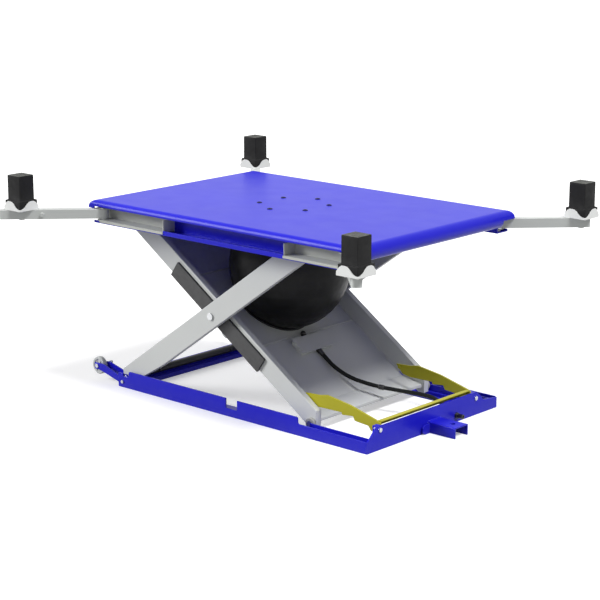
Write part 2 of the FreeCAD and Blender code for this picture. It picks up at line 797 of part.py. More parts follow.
def safety_latch():
    arm_outline = [(latch_pivot.x + x * latch_reach, latch_pivot.z + z * latch_height)
                   for x, z in arm_outline_shares]
    near = side_prism(arm_outline, latch_near_y - latch_sheet, latch_near_y)
    far = side_prism(arm_outline, latch_far_y - latch_sheet, latch_far_y)
    web = box(bar_rear_x, bar_rear_x + bar_sheet, latch_near_y, latch_far_y - latch_sheet, bar_low, bar_high)
    top = box(bar_rear_x, bar_front_x, latch_near_y, latch_far_y - latch_sheet,
              bar_high - bar_sheet, bar_high)
    shape = union([near, far, web, top])
    bore = rod_y(latch_pivot, latch_pin_radius + running_fit, latch_near_y - latch_sheet, latch_far_y)
    head = hexagon_head(Vector(tip_bolt.x, latch_far_y - latch_sheet, tip_bolt.z), Vector(0, -1, 0),
                        tip_bolt_radius, tip_bolt_head)
    return union([shape.cut(bore), head])


def latch_block(y0, y1, bolt):
    block = box(block_rear_x, plate_back_x, y0, y1, block_low, block_high)
    block = soften(block, latch_pin_radius,
                   lambda e: across(e) and e.CenterOfMass.x < block_rear_x + side_gap)
    block = block.cut(rod_y(latch_pivot, latch_pin_radius, y0, y1))
    return block.cut(rod_x(bolt[0], bolt[1], bolt_radius, block_rear_x + block_width / 2, plate_back_x))


def latch_blocks():
    near_in = latch_near_y - latch_sheet - side_gap
    far_in = latch_far_y + side_gap
    return (latch_block(near_in - block_width, near_in, latch_bolt_near),
            latch_block(far_in, far_in + block_width, latch_bolt_far))


def latch_bolts():
    """Two bolts through the front plate and the two hinge pins."""
    shapes = []
    for y, z in (latch_bolt_near, latch_bolt_far):
        shank = rod_x(y, z, bolt_radius, block_rear_x + block_width / 2, front_plate_x)
        head = hexagon_head(Vector(front_plate_x, y, z), Vector(1, 0, 0), bolt_radius * latch_bolt_head_share,
                            bolt_head)
        shapes.append(union([shank, head]))
    near_in = latch_near_y - latch_sheet - side_gap
    far_in = latch_far_y + side_gap
    shapes.append(rod_y(latch_pivot, latch_pin_radius, near_in - block_width, latch_near_y + bolt_head))
    shapes.append(rod_y(latch_pivot, latch_pin_radius, latch_far_y - latch_sheet - bolt_head,
                        far_in + block_width))
    return shapes


# Deck: one sheet with rolled edges and mitred corners
nose_inset = 55.0
nose_half_width = deck_half_width - nose_inset


def rolled(half_length, roll, inset, half_width):
    """Block whose upper long edges are round, along Y; the inset draws its inner side."""
    radius = roll - inset
    z0 = deck_top - roll
    left = Vector(-half_length, -half_width, z0 + radius)
    right = Vector(half_length, -half_width, z0 + radius)
    bend = radius * math.sqrt(0.5)
    edges = [Part.LineSegment(left, right).toShape(),
             Part.Arc(right, Vector(half_length + bend, -half_width, z0 + bend),
                      Vector(half_length + radius, -half_width, z0)).toShape(),
             Part.LineSegment(Vector(half_length + radius, -half_width, z0),
                              Vector(-half_length - radius, -half_width, z0)).toShape(),
             Part.Arc(Vector(-half_length - radius, -half_width, z0),
                      Vector(-half_length - bend, -half_width, z0 + bend), left).toShape()]
    return Part.Face(Part.Wire(edges)).extrude(Vector(0, half_width * 2, 0))


def pillow(inset):
    """Rolled along both directions, so that the corners are mitred."""
    along = rolled(deck_half_length, edge_roll, inset, deck_side)
    wide = rolled(deck_half_width, side_roll, inset, deck_end)
    wide.rotate(Vector(0, 0, 0), Vector(0, 0, 1), 90)
    side = deck_side - inset
    below = box(-deck_end, deck_end, -side, side, roll_z, side_roll_z)
    return along.common(union([wide, below]))


def below_side_roll():
    """Space under the lower edge of the near side's roll."""
    return box(-deck_half_length, deck_half_length, -deck_side, -deck_side + side_roll, roll_z, side_roll_z)


def deck_nose():
    """Lower quarter of the rolled end, turned under the front of the deck."""
    ring = rod_y(Vector(deck_half_length, 0, roll_z), edge_roll, -nose_half_width, nose_half_width)
    ring = ring.cut(rod_y(Vector(deck_half_length, 0, roll_z), edge_roll - deck_sheet,
                          -nose_half_width, nose_half_width))
    return ring.common(box(deck_half_length, deck_end, -nose_half_width, nose_half_width,
                           roll_z - edge_roll, roll_z))


def deck():
    sheet = pillow(0).cut(pillow(deck_sheet))
    sheet = sheet.cut(below_side_roll()).cut(mirror_y(below_side_roll()))
    nose = deck_nose()
    sheet = union([sheet, nose, mirror_x(nose)])
    for x, y in bolt_places():
        sheet = sheet.cut(rod_z(x, y, deck_bolt_radius + running_fit, deck_under, deck_top))
    return sheet


# Six bolts that hold the bag's upper ring to the deck
bolt_circle = 157.0
deck_bolt_radius = 8.0
deck_bolt_head_radius = 12.0
deck_bolt_head = 4.0
dome_share = 0.6


def bolt_places():
    return [(bag_top_x + bolt_circle * math.cos(math.radians(30 + 60 * i)),
             bolt_circle * math.sin(math.radians(30 + 60 * i))) for i in range(6)]


def deck_bolt(x, y):
    shank = rod_z(x, y, deck_bolt_radius, deck_under - bag_top_ring, deck_top)
    head = rod_z(x, y, deck_bolt_head_radius, deck_top, deck_top + deck_bolt_head)
    head = head.makeChamfer(deck_bolt_head * dome_share, [e for e in head.Edges if e.Closed
                                                   and e.CenterOfMass.z > deck_top + seat_gap])
    return union([shank, head])


# Side channels under the deck, with a track for the upper roller
web_gap = 4.6
channel_wall = 5.0
channel_depth = 92.0
channel_lip = 19.0
channel_outset = 4.0
channel_short = 5.0
track_gap = 0.4
pocket_short = 12.0
pocket_rear_length = 433.0
pocket_front_length = 340.0
pocket_lip = 10.0
pocket_lift = 4.0
pocket_sheet = 3.0
web_in = outer_leg_out + side_gap * 2 + roller_width + axle_cap + web_gap
web_out = web_in + channel_wall
channel_low = deck_under - channel_depth
channel_lip_top = channel_low + channel_lip
channel_lip_out = deck_side + channel_outset
channel_end_x = deck_half_length - channel_short
channel_rear_x = -channel_end_x
track_x0 = top_front.x - track_lead
track_x1 = low_rear.x + leg_span + track_lead
track_y_in = outer_leg_out + side_gap
pocket_end_x = deck_half_length - pocket_short
pocket_rear_in_x = pocket_rear_length - pocket_end_x
pocket_front_in_x = pocket_end_x - pocket_front_length
pocket_lip_low = channel_low + pocket_lift
pocket_lip_top = pocket_lip_low + pocket_lip
pocket_top = roll_z + pocket_lift


def side_channel():
    """Web, bottom flange and lip; the lip is lower where an arm pocket sits."""
    web = box(channel_rear_x, channel_end_x, -web_out, -web_in, channel_low, deck_under)
    floor = box(channel_rear_x, channel_end_x, -channel_lip_out, -web_in, channel_low,
                channel_low + channel_wall)
    lip = box(channel_rear_x, channel_end_x, -channel_lip_out, -channel_lip_out + channel_wall,
              channel_low, channel_lip_top)
    shape = union([web, floor, lip])
    for x0, x1 in ((channel_rear_x, pocket_rear_in_x), (pocket_front_in_x, channel_end_x)):
        shape = shape.cut(box(x0, x1, -channel_lip_out, -channel_lip_out + channel_wall,
                              pocket_lip_top - pocket_sheet, channel_lip_top))
    track = box(track_x0, track_x1, -web_in, -track_y_in, top_front.z + upper_roller_radius + track_gap,
                deck_under)
    shape = union([shape, track])
    for x in (-arm_x, arm_x):
        shape = shape.cut(rod_z(x, arm_y, arm_pin_radius, channel_low, tray_low))
    return shape


# Cross ribs under the deck, each a hat channel
rib_half_width = 30.0
rib_top_half = 45.0
rib_depth = 38.0
rib_sheet = 4.0
rear_rib_inset = 15.0
front_rib_inset = 105.0
rear_rib_half = inner_leg_in - rear_rib_inset
front_rib_half = inner_leg_in - front_rib_inset
end_rib_back = 190.5
rear_rib_share = 0.527197
front_rib_share = 0.422655


def deck_rib(x, half_width):
    low = deck_under - rib_depth
    outline = [(x - rib_top_half, deck_under), (x - rib_top_half, deck_under - rib_sheet),
               (x - rib_half_width, deck_under - rib_sheet), (x - rib_half_width, low),
               (x + rib_half_width, low), (x + rib_half_width, deck_under - rib_sheet),
               (x + rib_top_half, deck_under - rib_sheet), (x + rib_top_half, deck_under),
               (x + rib_half_width - rib_sheet, deck_under),
               (x + rib_half_width - rib_sheet, low + rib_sheet),
               (x - rib_half_width + rib_sheet, low + rib_sheet),
               (x - rib_half_width + rib_sheet, deck_under)]
    return side_prism(outline, -half_width, half_width)


def deck_ribs():
    """Two ribs on each side of the bag's upper ring: one near the deck's end, one between both."""
    end = deck_half_length - end_rib_back
    rear_edge = bag_top_x - bag_top_radius
    front_edge = bag_top_x + bag_top_radius
    rear_x = rear_edge - rear_rib_share * (end + rear_edge)
    front_x = front_edge + front_rib_share * (end - front_edge)
    rear = [deck_rib(x, rear_rib_half) for x in (-end, rear_x)]
    return rear + [deck_rib(x, front_rib_half) for x in (front_x, end)]


# Brackets and pins at the upper rear pivots
ear_sheet = 8.0
ear_radius = 25.0
ear_half_length = 40.0
ear_in_gap = 3.0


def pivot_ears():
    shapes = []
    for y0 in (-inner_leg_out - ear_in_gap - ear_sheet, -inner_leg_in + ear_in_gap):
        disc = rod_y(top_rear, ear_radius, y0, y0 + ear_sheet)
        outline = [(top_rear.x - ear_radius, top_rear.z), (top_rear.x + ear_radius, top_rear.z),
                   (top_rear.x + ear_half_length, deck_under), (top_rear.x - ear_half_length, deck_under)]
        ear = union([disc, side_prism(outline, y0, y0 + ear_sheet)])
        shapes.append(ear.cut(rod_y(top_rear, pin_radius, y0, y0 + ear_sheet)))
    return shapes


def platform_pivot_pin():
    y0 = -inner_leg_out - ear_in_gap - ear_sheet
    y1 = -inner_leg_in + ear_in_gap + ear_sheet
    pin = rod_y(top_rear, pin_radius, y0 - pin_head, y1 + pin_head)
    collars = [rod_y(top_rear, pin_head_radius, -inner_leg_out - ear_in_gap, -inner_leg_out - side_gap),
               rod_y(top_rear, pin_head_radius, -inner_leg_in + side_gap, -inner_leg_in + ear_in_gap),
               rod_y(top_rear, pin_head_radius, y0 - pin_head, y0),
               rod_y(top_rear, pin_head_radius, y1, y1 + pin_head)]
    return union([pin] + collars)


# Arm pockets, swing arms, pad holders and rubber blocks, drawn for the near front corner
arm_inset_x = 32.0
arm_inset_y = 5.0
arm_length = 365.0
arm_angle = -45.0
arm_half_width = 22.0
pocket_corner = 30.0
arm_height = 41.5
arm_gap = 2.5
front_arm_tip = 38.0
rear_arm_tip = 100.0
arm_wall = 5.0
arm_round_share = 0.6
arm_pin_radius = 12.0
knuckle_length = 48.0
knuckle_reach = 28.0
knob_back = 92.0
knob_radius = 9.0
knob_length = 16.0
holder_half = 54.0
holder_sheet = 3.0
tab_height = 41.0
tab_outline_shares = [(0, 0.2), (0.13, 0.23), (0.27, 0.42), (0.4, 0.76), (0.5, 0.94), (0.6, 1), (0.75, 1),
                      (0.86, 0.84), (0.94, 0.55), (1, 0.36)]
block_foot_half = 50.6
block_foot_height = 42.0
block_half = 41.5
block_round_share = 0.08
block_height = 154.0
stud_radius = 9.0
stud_end = 5.0
stud_head_share = 1.4
washer_radius = 18.0
arm_x = deck_half_length - arm_inset_x
arm_y = arm_inset_y - deck_half_width
arm_top = roll_z - arm_gap
arm_low = arm_top - arm_height
knuckle_x0 = pocket_end_x - knuckle_length
knuckle_y_out = arm_y - knuckle_reach
pocket_web_in = web_out
holder_low = arm_top + seat_gap
block_low_z = holder_low + holder_sheet
pad_x = arm_x + arm_length * math.cos(math.radians(arm_angle))
pad_y = arm_y + arm_length * math.sin(math.radians(arm_angle))
tray_low = channel_low + channel_wall


def arm_pocket(inner_x):
    """Light tray in the side channel, open to the side and at the corner of the deck."""
    web = box(inner_x, pocket_end_x, -pocket_web_in - pocket_sheet, -pocket_web_in, tray_low, pocket_top)
    floor_z = pocket_lip_top - pocket_sheet
    floor = box(inner_x, pocket_end_x, -channel_lip_out - pocket_sheet - seat_gap, -pocket_web_in,
                floor_z, pocket_lip_top)
    corner = [e for e in floor.Edges if upright(e) and e.CenterOfMass.x > pocket_end_x - seat_gap
              and e.CenterOfMass.y < -channel_lip_out]
    floor = floor.makeFillet(pocket_corner, corner)
    lip = box(inner_x, pocket_end_x - pocket_corner, -channel_lip_out - pocket_sheet - seat_gap,
              -channel_lip_out - seat_gap, pocket_lip_low, pocket_lip_top)
    end = box(inner_x, inner_x + pocket_sheet, -channel_lip_out + pocket_sheet, -pocket_web_in,
              floor_z, pocket_top - pocket_sheet)
    knuckle = box(knuckle_x0, pocket_end_x, knuckle_y_out, -pocket_web_in, pocket_top - pocket_sheet,
                  pocket_top)
    shape = union([web, floor, lip, end, knuckle])
    return shape.cut(rod_z(arm_x, arm_y, arm_pin_radius, tray_low, pocket_top))


def along_arm(shape):
    """Turn a piece that is drawn along +X from the arm's pin into the arm's direction."""
    shape.rotate(Vector(0, 0, 0), Vector(0, 0, 1), arm_angle)
    shape.translate(Vector(arm_x, arm_y, 0))
    return shape


def swing_arm(tip):
    """Hollow square arm with a round root and a rounded tip, and a lock knob on its side."""
    end = arm_length + tip
    body = box(0, end, -arm_half_width, arm_half_width, arm_low, arm_top)
    body = soften(body, arm_half_width * arm_round_share,
                  lambda e: upright(e) and e.CenterOfMass.x > arm_length)
    body = union([body, rod_z(0, 0, arm_half_width, arm_low, arm_top)])
    hollow = box(arm_half_width * 2, arm_length - arm_half_width, -arm_half_width + arm_wall,
                 arm_half_width - arm_wall, arm_low + arm_wall, arm_top - arm_wall)
    body = body.cut(hollow)
    body = body.cut(rod_z(0, 0, arm_pin_radius + running_fit, arm_low, arm_top))
    body = body.cut(rod_z(arm_length, 0, stud_radius + running_fit, arm_low, arm_top))
    knob = Part.makeCylinder(knob_radius, knob_length + arm_wall,
                             Vector(arm_length - knob_back, -arm_half_width + arm_wall,
                                    (arm_low + arm_top) / 2),
                             Vector(0, -1, 0))
    return along_arm(union([body, knob]))


def arm_pin():
    pin = rod_z(arm_x, arm_y, arm_pin_radius, channel_low, pocket_top + pin_head)
    washer = rod_z(arm_x, arm_y, washer_radius, pocket_lip_top, arm_low - seat_gap)
    return union([pin, washer])


def wave_tab():
    """Upturned edge of the holder: one hump, low at the outer corner and cut short at the other."""
    points = [Vector(holder_half, -holder_half, holder_low)]
    points += [Vector(holder_half - 2 * holder_half * along, -holder_half, holder_low + tab_height * up)
               for along, up in tab_outline_shares]
    points.append(Vector(-holder_half, -holder_half, holder_low))
    return prism(points, Vector(0, holder_sheet, 0))


def pad_holder():
    """Square sheet with four upturned tabs, on a stud that turns in the arm."""
    pieces = [box(-holder_half, holder_half, -holder_half, holder_half, holder_low, block_low_z)]
    across = wave_tab()
    side = across.mirror(Vector(0, 0, 0), Vector(1, 1, 0))
    for tab in (across, side):
        pieces.append(tab)
        pieces.append(mirror_x(mirror_y(tab)))
    pieces.append(rod_z(0, 0, stud_radius, arm_low - stud_end, holder_low))
    head_top = arm_low - seat_gap * 2
    pieces.append(rod_z(0, 0, stud_radius * stud_head_share, arm_low - stud_end - seat_gap * 2, head_top))
    return union(pieces)


def rubber_block():
    """Square block on a wider foot that fills the holder."""
    block = box(-block_half, block_half, -block_half, block_half, block_low_z, block_low_z + block_height)
    block = soften(block, block_half * block_round_share, upright)
    foot = box(-block_foot_half, block_foot_half, -block_foot_half, block_foot_half, block_low_z,
               block_low_z + block_foot_height)
    return union([block, foot])


def build_base():
    near = rail()
    save("rail_near", near)
    save("rail_far", mirror_y(near))
    save("front_plate", front_plate())
    save("rear_cross_channel", rear_cross_channel())
    save("tow_hitch", tow_hitch())
    bracket = wheel_bracket()
    save("wheel_bracket_near", bracket)
    save("wheel_bracket_far", mirror_y(bracket))
    wheel = transport_wheel()
    save("transport_wheel_near", wheel)
    save("transport_wheel_far", mirror_y(wheel))
    axle = wheel_axle()
    spacer = cheek_spacer()
    save("wheel_axles", axle, mirror_y(axle), spacer, mirror_y(spacer))
    pin = base_pivot_pin()
    keeper = keeper_bolt()
    save("base_pivot_pins", pin, mirror_y(pin), keeper, mirror_y(keeper))
    save("latch_pivot_blocks", *latch_blocks())
    save("latch_bolts", *latch_bolts())
    save("air_inlet", air_inlet())
    save("safety_latch", safety_latch())


def build_legs():
    leg = outer_leg()
    save("outer_leg_near", leg)
    save("outer_leg_far", mirror_y(leg))
    save("outer_cross_tube", outer_cross_tube())
    axle = stub_axle(top_front, outer_leg_out, outer_leg_in, roller_width)
    save("upper_axles", axle, mirror_y(axle))
    bolt = centre_bolt()
    save("centre_pivot_bolts", bolt, mirror_y(bolt))
    wheel = roller(top_front, upper_roller_radius, outer_leg_out, roller_width)
    save("upper_roller_near", wheel)
    save("upper_roller_far", mirror_y(wheel))
    leg = inner_leg()
    save("inner_leg_near", leg)
    save("inner_leg_far", mirror_y(leg))
    save("inner_plate", inner_plate())
    save("lower_cross_plate", lower_cross_plate())
    pad = wear_pad()
    save("wear_pads", pad, mirror_y(pad))
    axle = stub_axle(low_front, inner_leg_out, inner_leg_in, lower_roller_width)
    save("lower_axles", axle, mirror_y(axle))
    wheel = roller(low_front, lower_roller_radius, inner_leg_out, lower_roller_width)
    save("lower_roller_near", wheel)
    save("lower_roller_far", mirror_y(wheel))


def build_air():
    save("cover_box", cover_box())
    save("air_elbow", air_elbow())
    save("bag_lower_ring", bag_lower_ring())
    save("bag_upper_ring", bag_upper_ring())
    save("airbag", airbag())
    save("air_hose_rear", hose(hose_rear_route, "air_hose_rear"))
    save("air_hose_front", hose(hose_front_route, "air_hose_front"))


def build_platform():
    save("deck", deck())
    channel = side_channel()
    save("side_channel_near", channel)
    save("side_channel_far", mirror_y(channel))
    save("deck_ribs", *deck_ribs())
    save("deck_bolts", *[deck_bolt(x, y) for x, y in bolt_places()])
    ears = pivot_ears()
    save("pivot_brackets", *(ears + [mirror_y(ear) for ear in ears]))
    pivot = platform_pivot_pin()
    front = arm_pin()
    rear = mirror_x(front)
    save("platform_pins", pivot, mirror_y(pivot), front, mirror_y(front), rear, mirror_y(rear))
    pockets = {"front": arm_pocket(pocket_front_in_x), "rear": mirror_x(arm_pocket(-pocket_rear_in_x))}
    for end, pocket in pockets.items():
        save("arm_pocket_" + end + "_near", pocket)
        save("arm_pocket_" + end + "_far", mirror_y(pocket))


def build_arms():
    front = swing_arm(front_arm_tip)
    rear = mirror_x(swing_arm(rear_arm_tip))
    holder = pad_holder()
    block = rubber_block()
    for end, arm, x in (("front", front, pad_x), ("rear", rear, -pad_x)):
        for side, y in (("near", pad_y), ("far", -pad_y)):
            place = end + "_" + side
            save("swing_arm_" + place, arm if side == "near" else mirror_y(arm))
            save("pad_holder_" + place, moved(holder, x, y))
            save("rubber_block_" + place, moved(block, x, y))


build_base()
build_legs()
build_air()
build_platform()
build_arms()
for name, (count, volume, valid) in sizes.items():
    print(name, count, round(volume), "valid" if valid else "NOT VALID")
print("pivots", [tuple(round(c, 2) for c in p) for p in (low_rear, low_front, centre, top_rear, top_front)])
print("pad", round(pad_x, 2), round(pad_y, 2), "nodes", len(sizes))
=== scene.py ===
import bpy
import bmesh
import json
import math
import random
from mathutils import Matrix, Vector

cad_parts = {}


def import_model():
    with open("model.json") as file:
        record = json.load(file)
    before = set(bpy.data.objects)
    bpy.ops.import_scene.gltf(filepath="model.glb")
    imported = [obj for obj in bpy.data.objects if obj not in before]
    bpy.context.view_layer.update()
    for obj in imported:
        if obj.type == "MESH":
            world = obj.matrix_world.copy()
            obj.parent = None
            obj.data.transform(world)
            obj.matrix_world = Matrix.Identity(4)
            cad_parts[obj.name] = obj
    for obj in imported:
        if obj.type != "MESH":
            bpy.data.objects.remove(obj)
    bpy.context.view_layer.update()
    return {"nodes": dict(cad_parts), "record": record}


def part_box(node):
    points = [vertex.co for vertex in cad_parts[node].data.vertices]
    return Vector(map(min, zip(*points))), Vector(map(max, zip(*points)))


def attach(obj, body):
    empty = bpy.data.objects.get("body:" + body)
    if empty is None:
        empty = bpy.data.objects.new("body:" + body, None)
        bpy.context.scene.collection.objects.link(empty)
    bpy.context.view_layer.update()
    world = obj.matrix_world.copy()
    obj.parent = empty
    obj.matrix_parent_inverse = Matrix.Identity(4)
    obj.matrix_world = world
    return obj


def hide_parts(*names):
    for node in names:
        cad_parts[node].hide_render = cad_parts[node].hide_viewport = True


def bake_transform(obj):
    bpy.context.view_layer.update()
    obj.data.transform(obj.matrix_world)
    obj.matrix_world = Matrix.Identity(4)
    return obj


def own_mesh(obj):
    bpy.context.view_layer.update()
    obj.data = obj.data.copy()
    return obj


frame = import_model()
nodes = frame["nodes"]
random.seed(7)

# Linkage and deck of the raised lift, in metres
SPAN = 1.325
ANGLE = math.radians(34.95)
BASE_PIVOT = Vector((-0.668, 0, 0.045))
LOW_FRONT = BASE_PIVOT + Vector((SPAN * math.cos(ANGLE), 0, 0))
TOP_REAR = BASE_PIVOT + Vector((0, 0, SPAN * math.sin(ANGLE)))
TOP_FRONT = LOW_FRONT + Vector((0, 0, SPAN * math.sin(ANGLE)))
CENTRE = (BASE_PIVOT + TOP_FRONT) / 2
DOWN = Vector((math.cos(ANGLE), 0, -math.sin(ANGLE)))
OUT = Vector((math.sin(ANGLE), 0, math.cos(ANGLE)))
DECK_TOP = TOP_REAR.z + 0.068
DECK_UNDER = DECK_TOP - 0.006
BLOCK_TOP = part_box("rubber_block_front_near")[1].z
CORNERS = ("front_near", "front_far", "rear_near", "rear_far")
SIDES = {"near": -1, "far": 1}
X = Vector((1, 0, 0))
Y = Vector((0, 1, 0))
Z = Vector((0, 0, 1))


def on_inner(along, up, y=0):
    """Point on the inner frame, measured from the upper rear pivot."""
    return TOP_REAR + DOWN * along + OUT * up + Y * y


# Camera: the focal length is in pixels of a picture 600 pixels wide
CAMERA_PLACE = (5.3751, -5.9638, 2.4011)
CAMERA_AZIMUTH = 41.98
CAMERA_HEIGHT = 13.75
FOCAL_PIXELS = 1855.2
PICTURE_PIXELS = 600
SENSOR = 36


def toward_eye(azimuth, height):
    """Direction from the lift to an eye or lamp, from its azimuth and height in degrees."""
    a, e = math.radians(azimuth), math.radians(height)
    return Vector((math.sin(a) * math.cos(e), -math.cos(a) * math.cos(e), math.sin(e)))


def camera():
    data = bpy.data.cameras.new("camera")
    data.sensor_width = SENSOR
    data.lens = FOCAL_PIXELS / PICTURE_PIXELS * SENSOR
    data.shift_y = 0.0015
    data.clip_end = 300
    cam = bpy.data.objects.new("camera", data)
    bpy.context.scene.collection.objects.link(cam)
    turn = toward_eye(CAMERA_AZIMUTH, CAMERA_HEIGHT).to_track_quat("Z", "Y").to_matrix().to_4x4()
    cam.matrix_world = Matrix.Translation(CAMERA_PLACE) @ turn
    bpy.context.scene.camera = cam


camera()


# Materials
class Tree:
    """Node tree of one material, with short calls for the nodes that the finishes use."""

    def __init__(self, name):
        self.mat = bpy.data.materials.new(name)
        self.mat.use_nodes = True
        self.nodes = self.mat.node_tree.nodes
        self.links = self.mat.node_tree.links
        self.shader = self.nodes["Principled BSDF"]
        self.place = self.nodes.new("ShaderNodeTexCoord").outputs["Object"]

    def put(self, target, value):
        if isinstance(value, bpy.types.NodeSocket):
            self.links.new(value, target)
        else:
            target.default_value = value

    def node(self, kind, out=0, **inputs):
        """One output of a new node. Inputs go by name, or as i0, i1 and so on by number."""
        new = self.nodes.new("ShaderNode" + kind)
        for key, value in inputs.items():
            if key in ("operation", "data_type"):
                setattr(new, key, value)
            elif key[1:].isdigit():
                self.put(new.inputs[int(key[1:])], value)
            else:
                self.put(new.inputs[key.replace("_", " ")], value)
        return new.outputs[out]

    def scaled(self, x, y, z):
        return self.node("Mapping", i0=self.place, i3=(x, y, z))

    def noise(self, scale, detail=2.0, rough=0.5, place=None):
        return self.node("TexNoise", Vector=place or self.place, Scale=scale, Detail=detail,
                         Roughness=rough)

    def band(self, value, low, high, to_low=0.0, to_high=1.0):
        return self.node("MapRange", i0=value, i1=low, i2=high, i3=to_low, i4=to_high)

    def math(self, operation, a, b=0.0):
        return self.node("Math", operation=operation, i0=a, i1=b)

    def mix(self, share, a, b):
        return self.node("Mix", 2, data_type="RGBA", i0=share, i6=a, i7=b)

    def edges(self, radius):
        """Share that is 1 on the edges of a piece, and the normal that rounds them."""
        rounded = self.node("Bevel", Radius=radius)
        true = self.nodes.new("ShaderNodeNewGeometry").outputs["True Normal"]
        dot = self.node("VectorMath", 1, operation="DOT_PRODUCT", i0=rounded, i1=true)
        return self.band(dot, 0.98, 0.8), rounded

    def set(self, **inputs):
        for key, value in inputs.items():
            self.put(self.shader.inputs[key.replace("_", " ")], value)


def grey(value):
    return (value, value, value, 1)


def tint(colour, share):
    """Colour made darker or lighter."""
    return tuple(c * share for c in colour[:3]) + (1,)


def toward(colour, other, share):
    """Colour part of the way to another one."""
    return tuple(a + (b - a) * share for a, b in zip(colour[:3], other[:3])) + (1,)


def painted(name, colour, bare, rough=0.36, coat=0.08, wear=0.5, peel=0.12, gloss=0.16):
    """Powder coat: a faint orange peel, cloudy gloss, thin worn edges and dust low on the piece."""
    t = Tree(name)
    cloud = t.noise(3.5, 3)
    base = t.mix(t.band(cloud, 0.35, 0.65), tint(colour, 0.975), tint(colour, 1.015))
    edge, rounded = t.edges(0.0022)
    broken = t.band(t.noise(55, 4, 0.65), 0.5, 0.62)
    worn = t.math("MULTIPLY", t.math("MULTIPLY", edge, broken), wear)
    base = t.mix(worn, base, bare)
    scratch = t.noise(1.0, 5, 0.7, t.scaled(7, 160, 160))
    fine = t.band(scratch, 0.66, 0.7, 0.0, 0.22 * wear)
    base = t.mix(fine, base, toward(colour, (0.7, 0.7, 0.7), 0.35))
    dust = t.math("MULTIPLY", t.band(t.node("SeparateXYZ", 2, i0=t.place), 0.0, 0.06, 0.1, 0.0),
                  t.noise(24, 4))
    base = t.mix(dust, base, (0.32, 0.3, 0.27, 1))
    t.set(Base_Color=base,
          Roughness=t.band(t.noise(9, 3), 0.3, 0.7, rough - 0.012, rough + 0.02))
    t.set(Coat_Weight=coat, Coat_Roughness=0.2, Specular_IOR_Level=gloss)
    bump = t.node("Bump", Strength=peel, Distance=0.0006, Height=t.noise(420, 1), Normal=rounded)
    t.set(Normal=bump)
    return t.mat


def steel(name, colour, rough=0.34, line_scale=90, stain=0.25):
    """Zinc-plated or turned steel with fine tool lines and cloudy plating."""
    t = Tree(name)
    lines = t.noise(1.0, 3, 0.6, t.scaled(line_scale, line_scale, line_scale))
    cloud = t.band(t.noise(30, 4), 0.35, 0.7)
    base = t.mix(t.math("MULTIPLY", cloud, stain), colour, tint(colour, 0.55))
    edge, rounded = t.edges(0.0012)
    base = t.mix(t.math("MULTIPLY", edge, 0.5), base, toward(colour, (1, 1, 1), 0.45))
    t.set(Base_Color=base, Metallic=1.0,
          Roughness=t.band(lines, 0.3, 0.7, rough - 0.08, rough + 0.12))
    t.set(Normal=t.node("Bump", Strength=0.12, Distance=0.0003, Height=lines, Normal=rounded))
    return t.mat


def rubbery(name, colour, rough, grain, bump=0.25, chalk=0.15, gloss=0.12, rubbed=0.0):
    """Moulded rubber: fine grain, paler edges, a chalky bloom and a top rubbed grey in use."""
    t = Tree(name)
    bloom = t.band(t.noise(9, 5, 0.6), 0.42, 0.75)
    base = t.mix(t.math("MULTIPLY", bloom, chalk), colour, toward(colour, (0.25, 0.25, 0.25), 0.16))
    edge, rounded = t.edges(0.003)
    base = t.mix(t.math("MULTIPLY", edge, 0.4), base, toward(colour, (0.3, 0.3, 0.3), 0.22))
    if rubbed:
        normal = t.nodes.new("ShaderNodeNewGeometry").outputs["Normal"]
        facing = t.node("SeparateXYZ", 2, i0=normal)
        height = t.node("SeparateXYZ", 2, i0=t.place)
        used = t.math("MULTIPLY", t.band(facing, 0.8, 0.95),
                      t.band(height, BLOCK_TOP - 0.02, BLOCK_TOP - 0.01))
        used = t.math("MULTIPLY", used, t.band(t.noise(60, 4), 0.35, 0.6, 0.6, 1.0))
        base = t.mix(t.math("MULTIPLY", used, rubbed), base, (0.2, 0.205, 0.19, 1))
    t.set(Base_Color=base, Roughness=t.band(t.noise(40, 3), 0.3, 0.7, rough - 0.08, rough + 0.1))
    t.set(Specular_IOR_Level=gloss)
    t.set(Normal=t.node("Bump", Strength=bump, Distance=0.0005, Height=t.noise(grain, 3),
                        Normal=rounded))
    return t.mat


def plastic(name, colour, rough, grain=300, speck=0.2):
    """Cast or moulded plastic with faint flow marks."""
    t = Tree(name)
    flow = t.noise(14, 4, 0.55, t.scaled(1, 3, 1))
    base = t.mix(t.math("MULTIPLY", t.band(flow, 0.4, 0.7), speck), colour, tint(colour, 0.7))
    edge, rounded = t.edges(0.0015)
    base = t.mix(t.math("MULTIPLY", edge, 0.3), base, toward(colour, (1, 1, 1), 0.2))
    t.set(Base_Color=base, Roughness=t.band(t.noise(50, 2), 0.3, 0.7, rough - 0.06, rough + 0.1))
    t.set(Normal=t.node("Bump", Strength=0.1, Distance=0.0004, Height=t.noise(grain, 2),
                        Normal=rounded))
    return t.mat


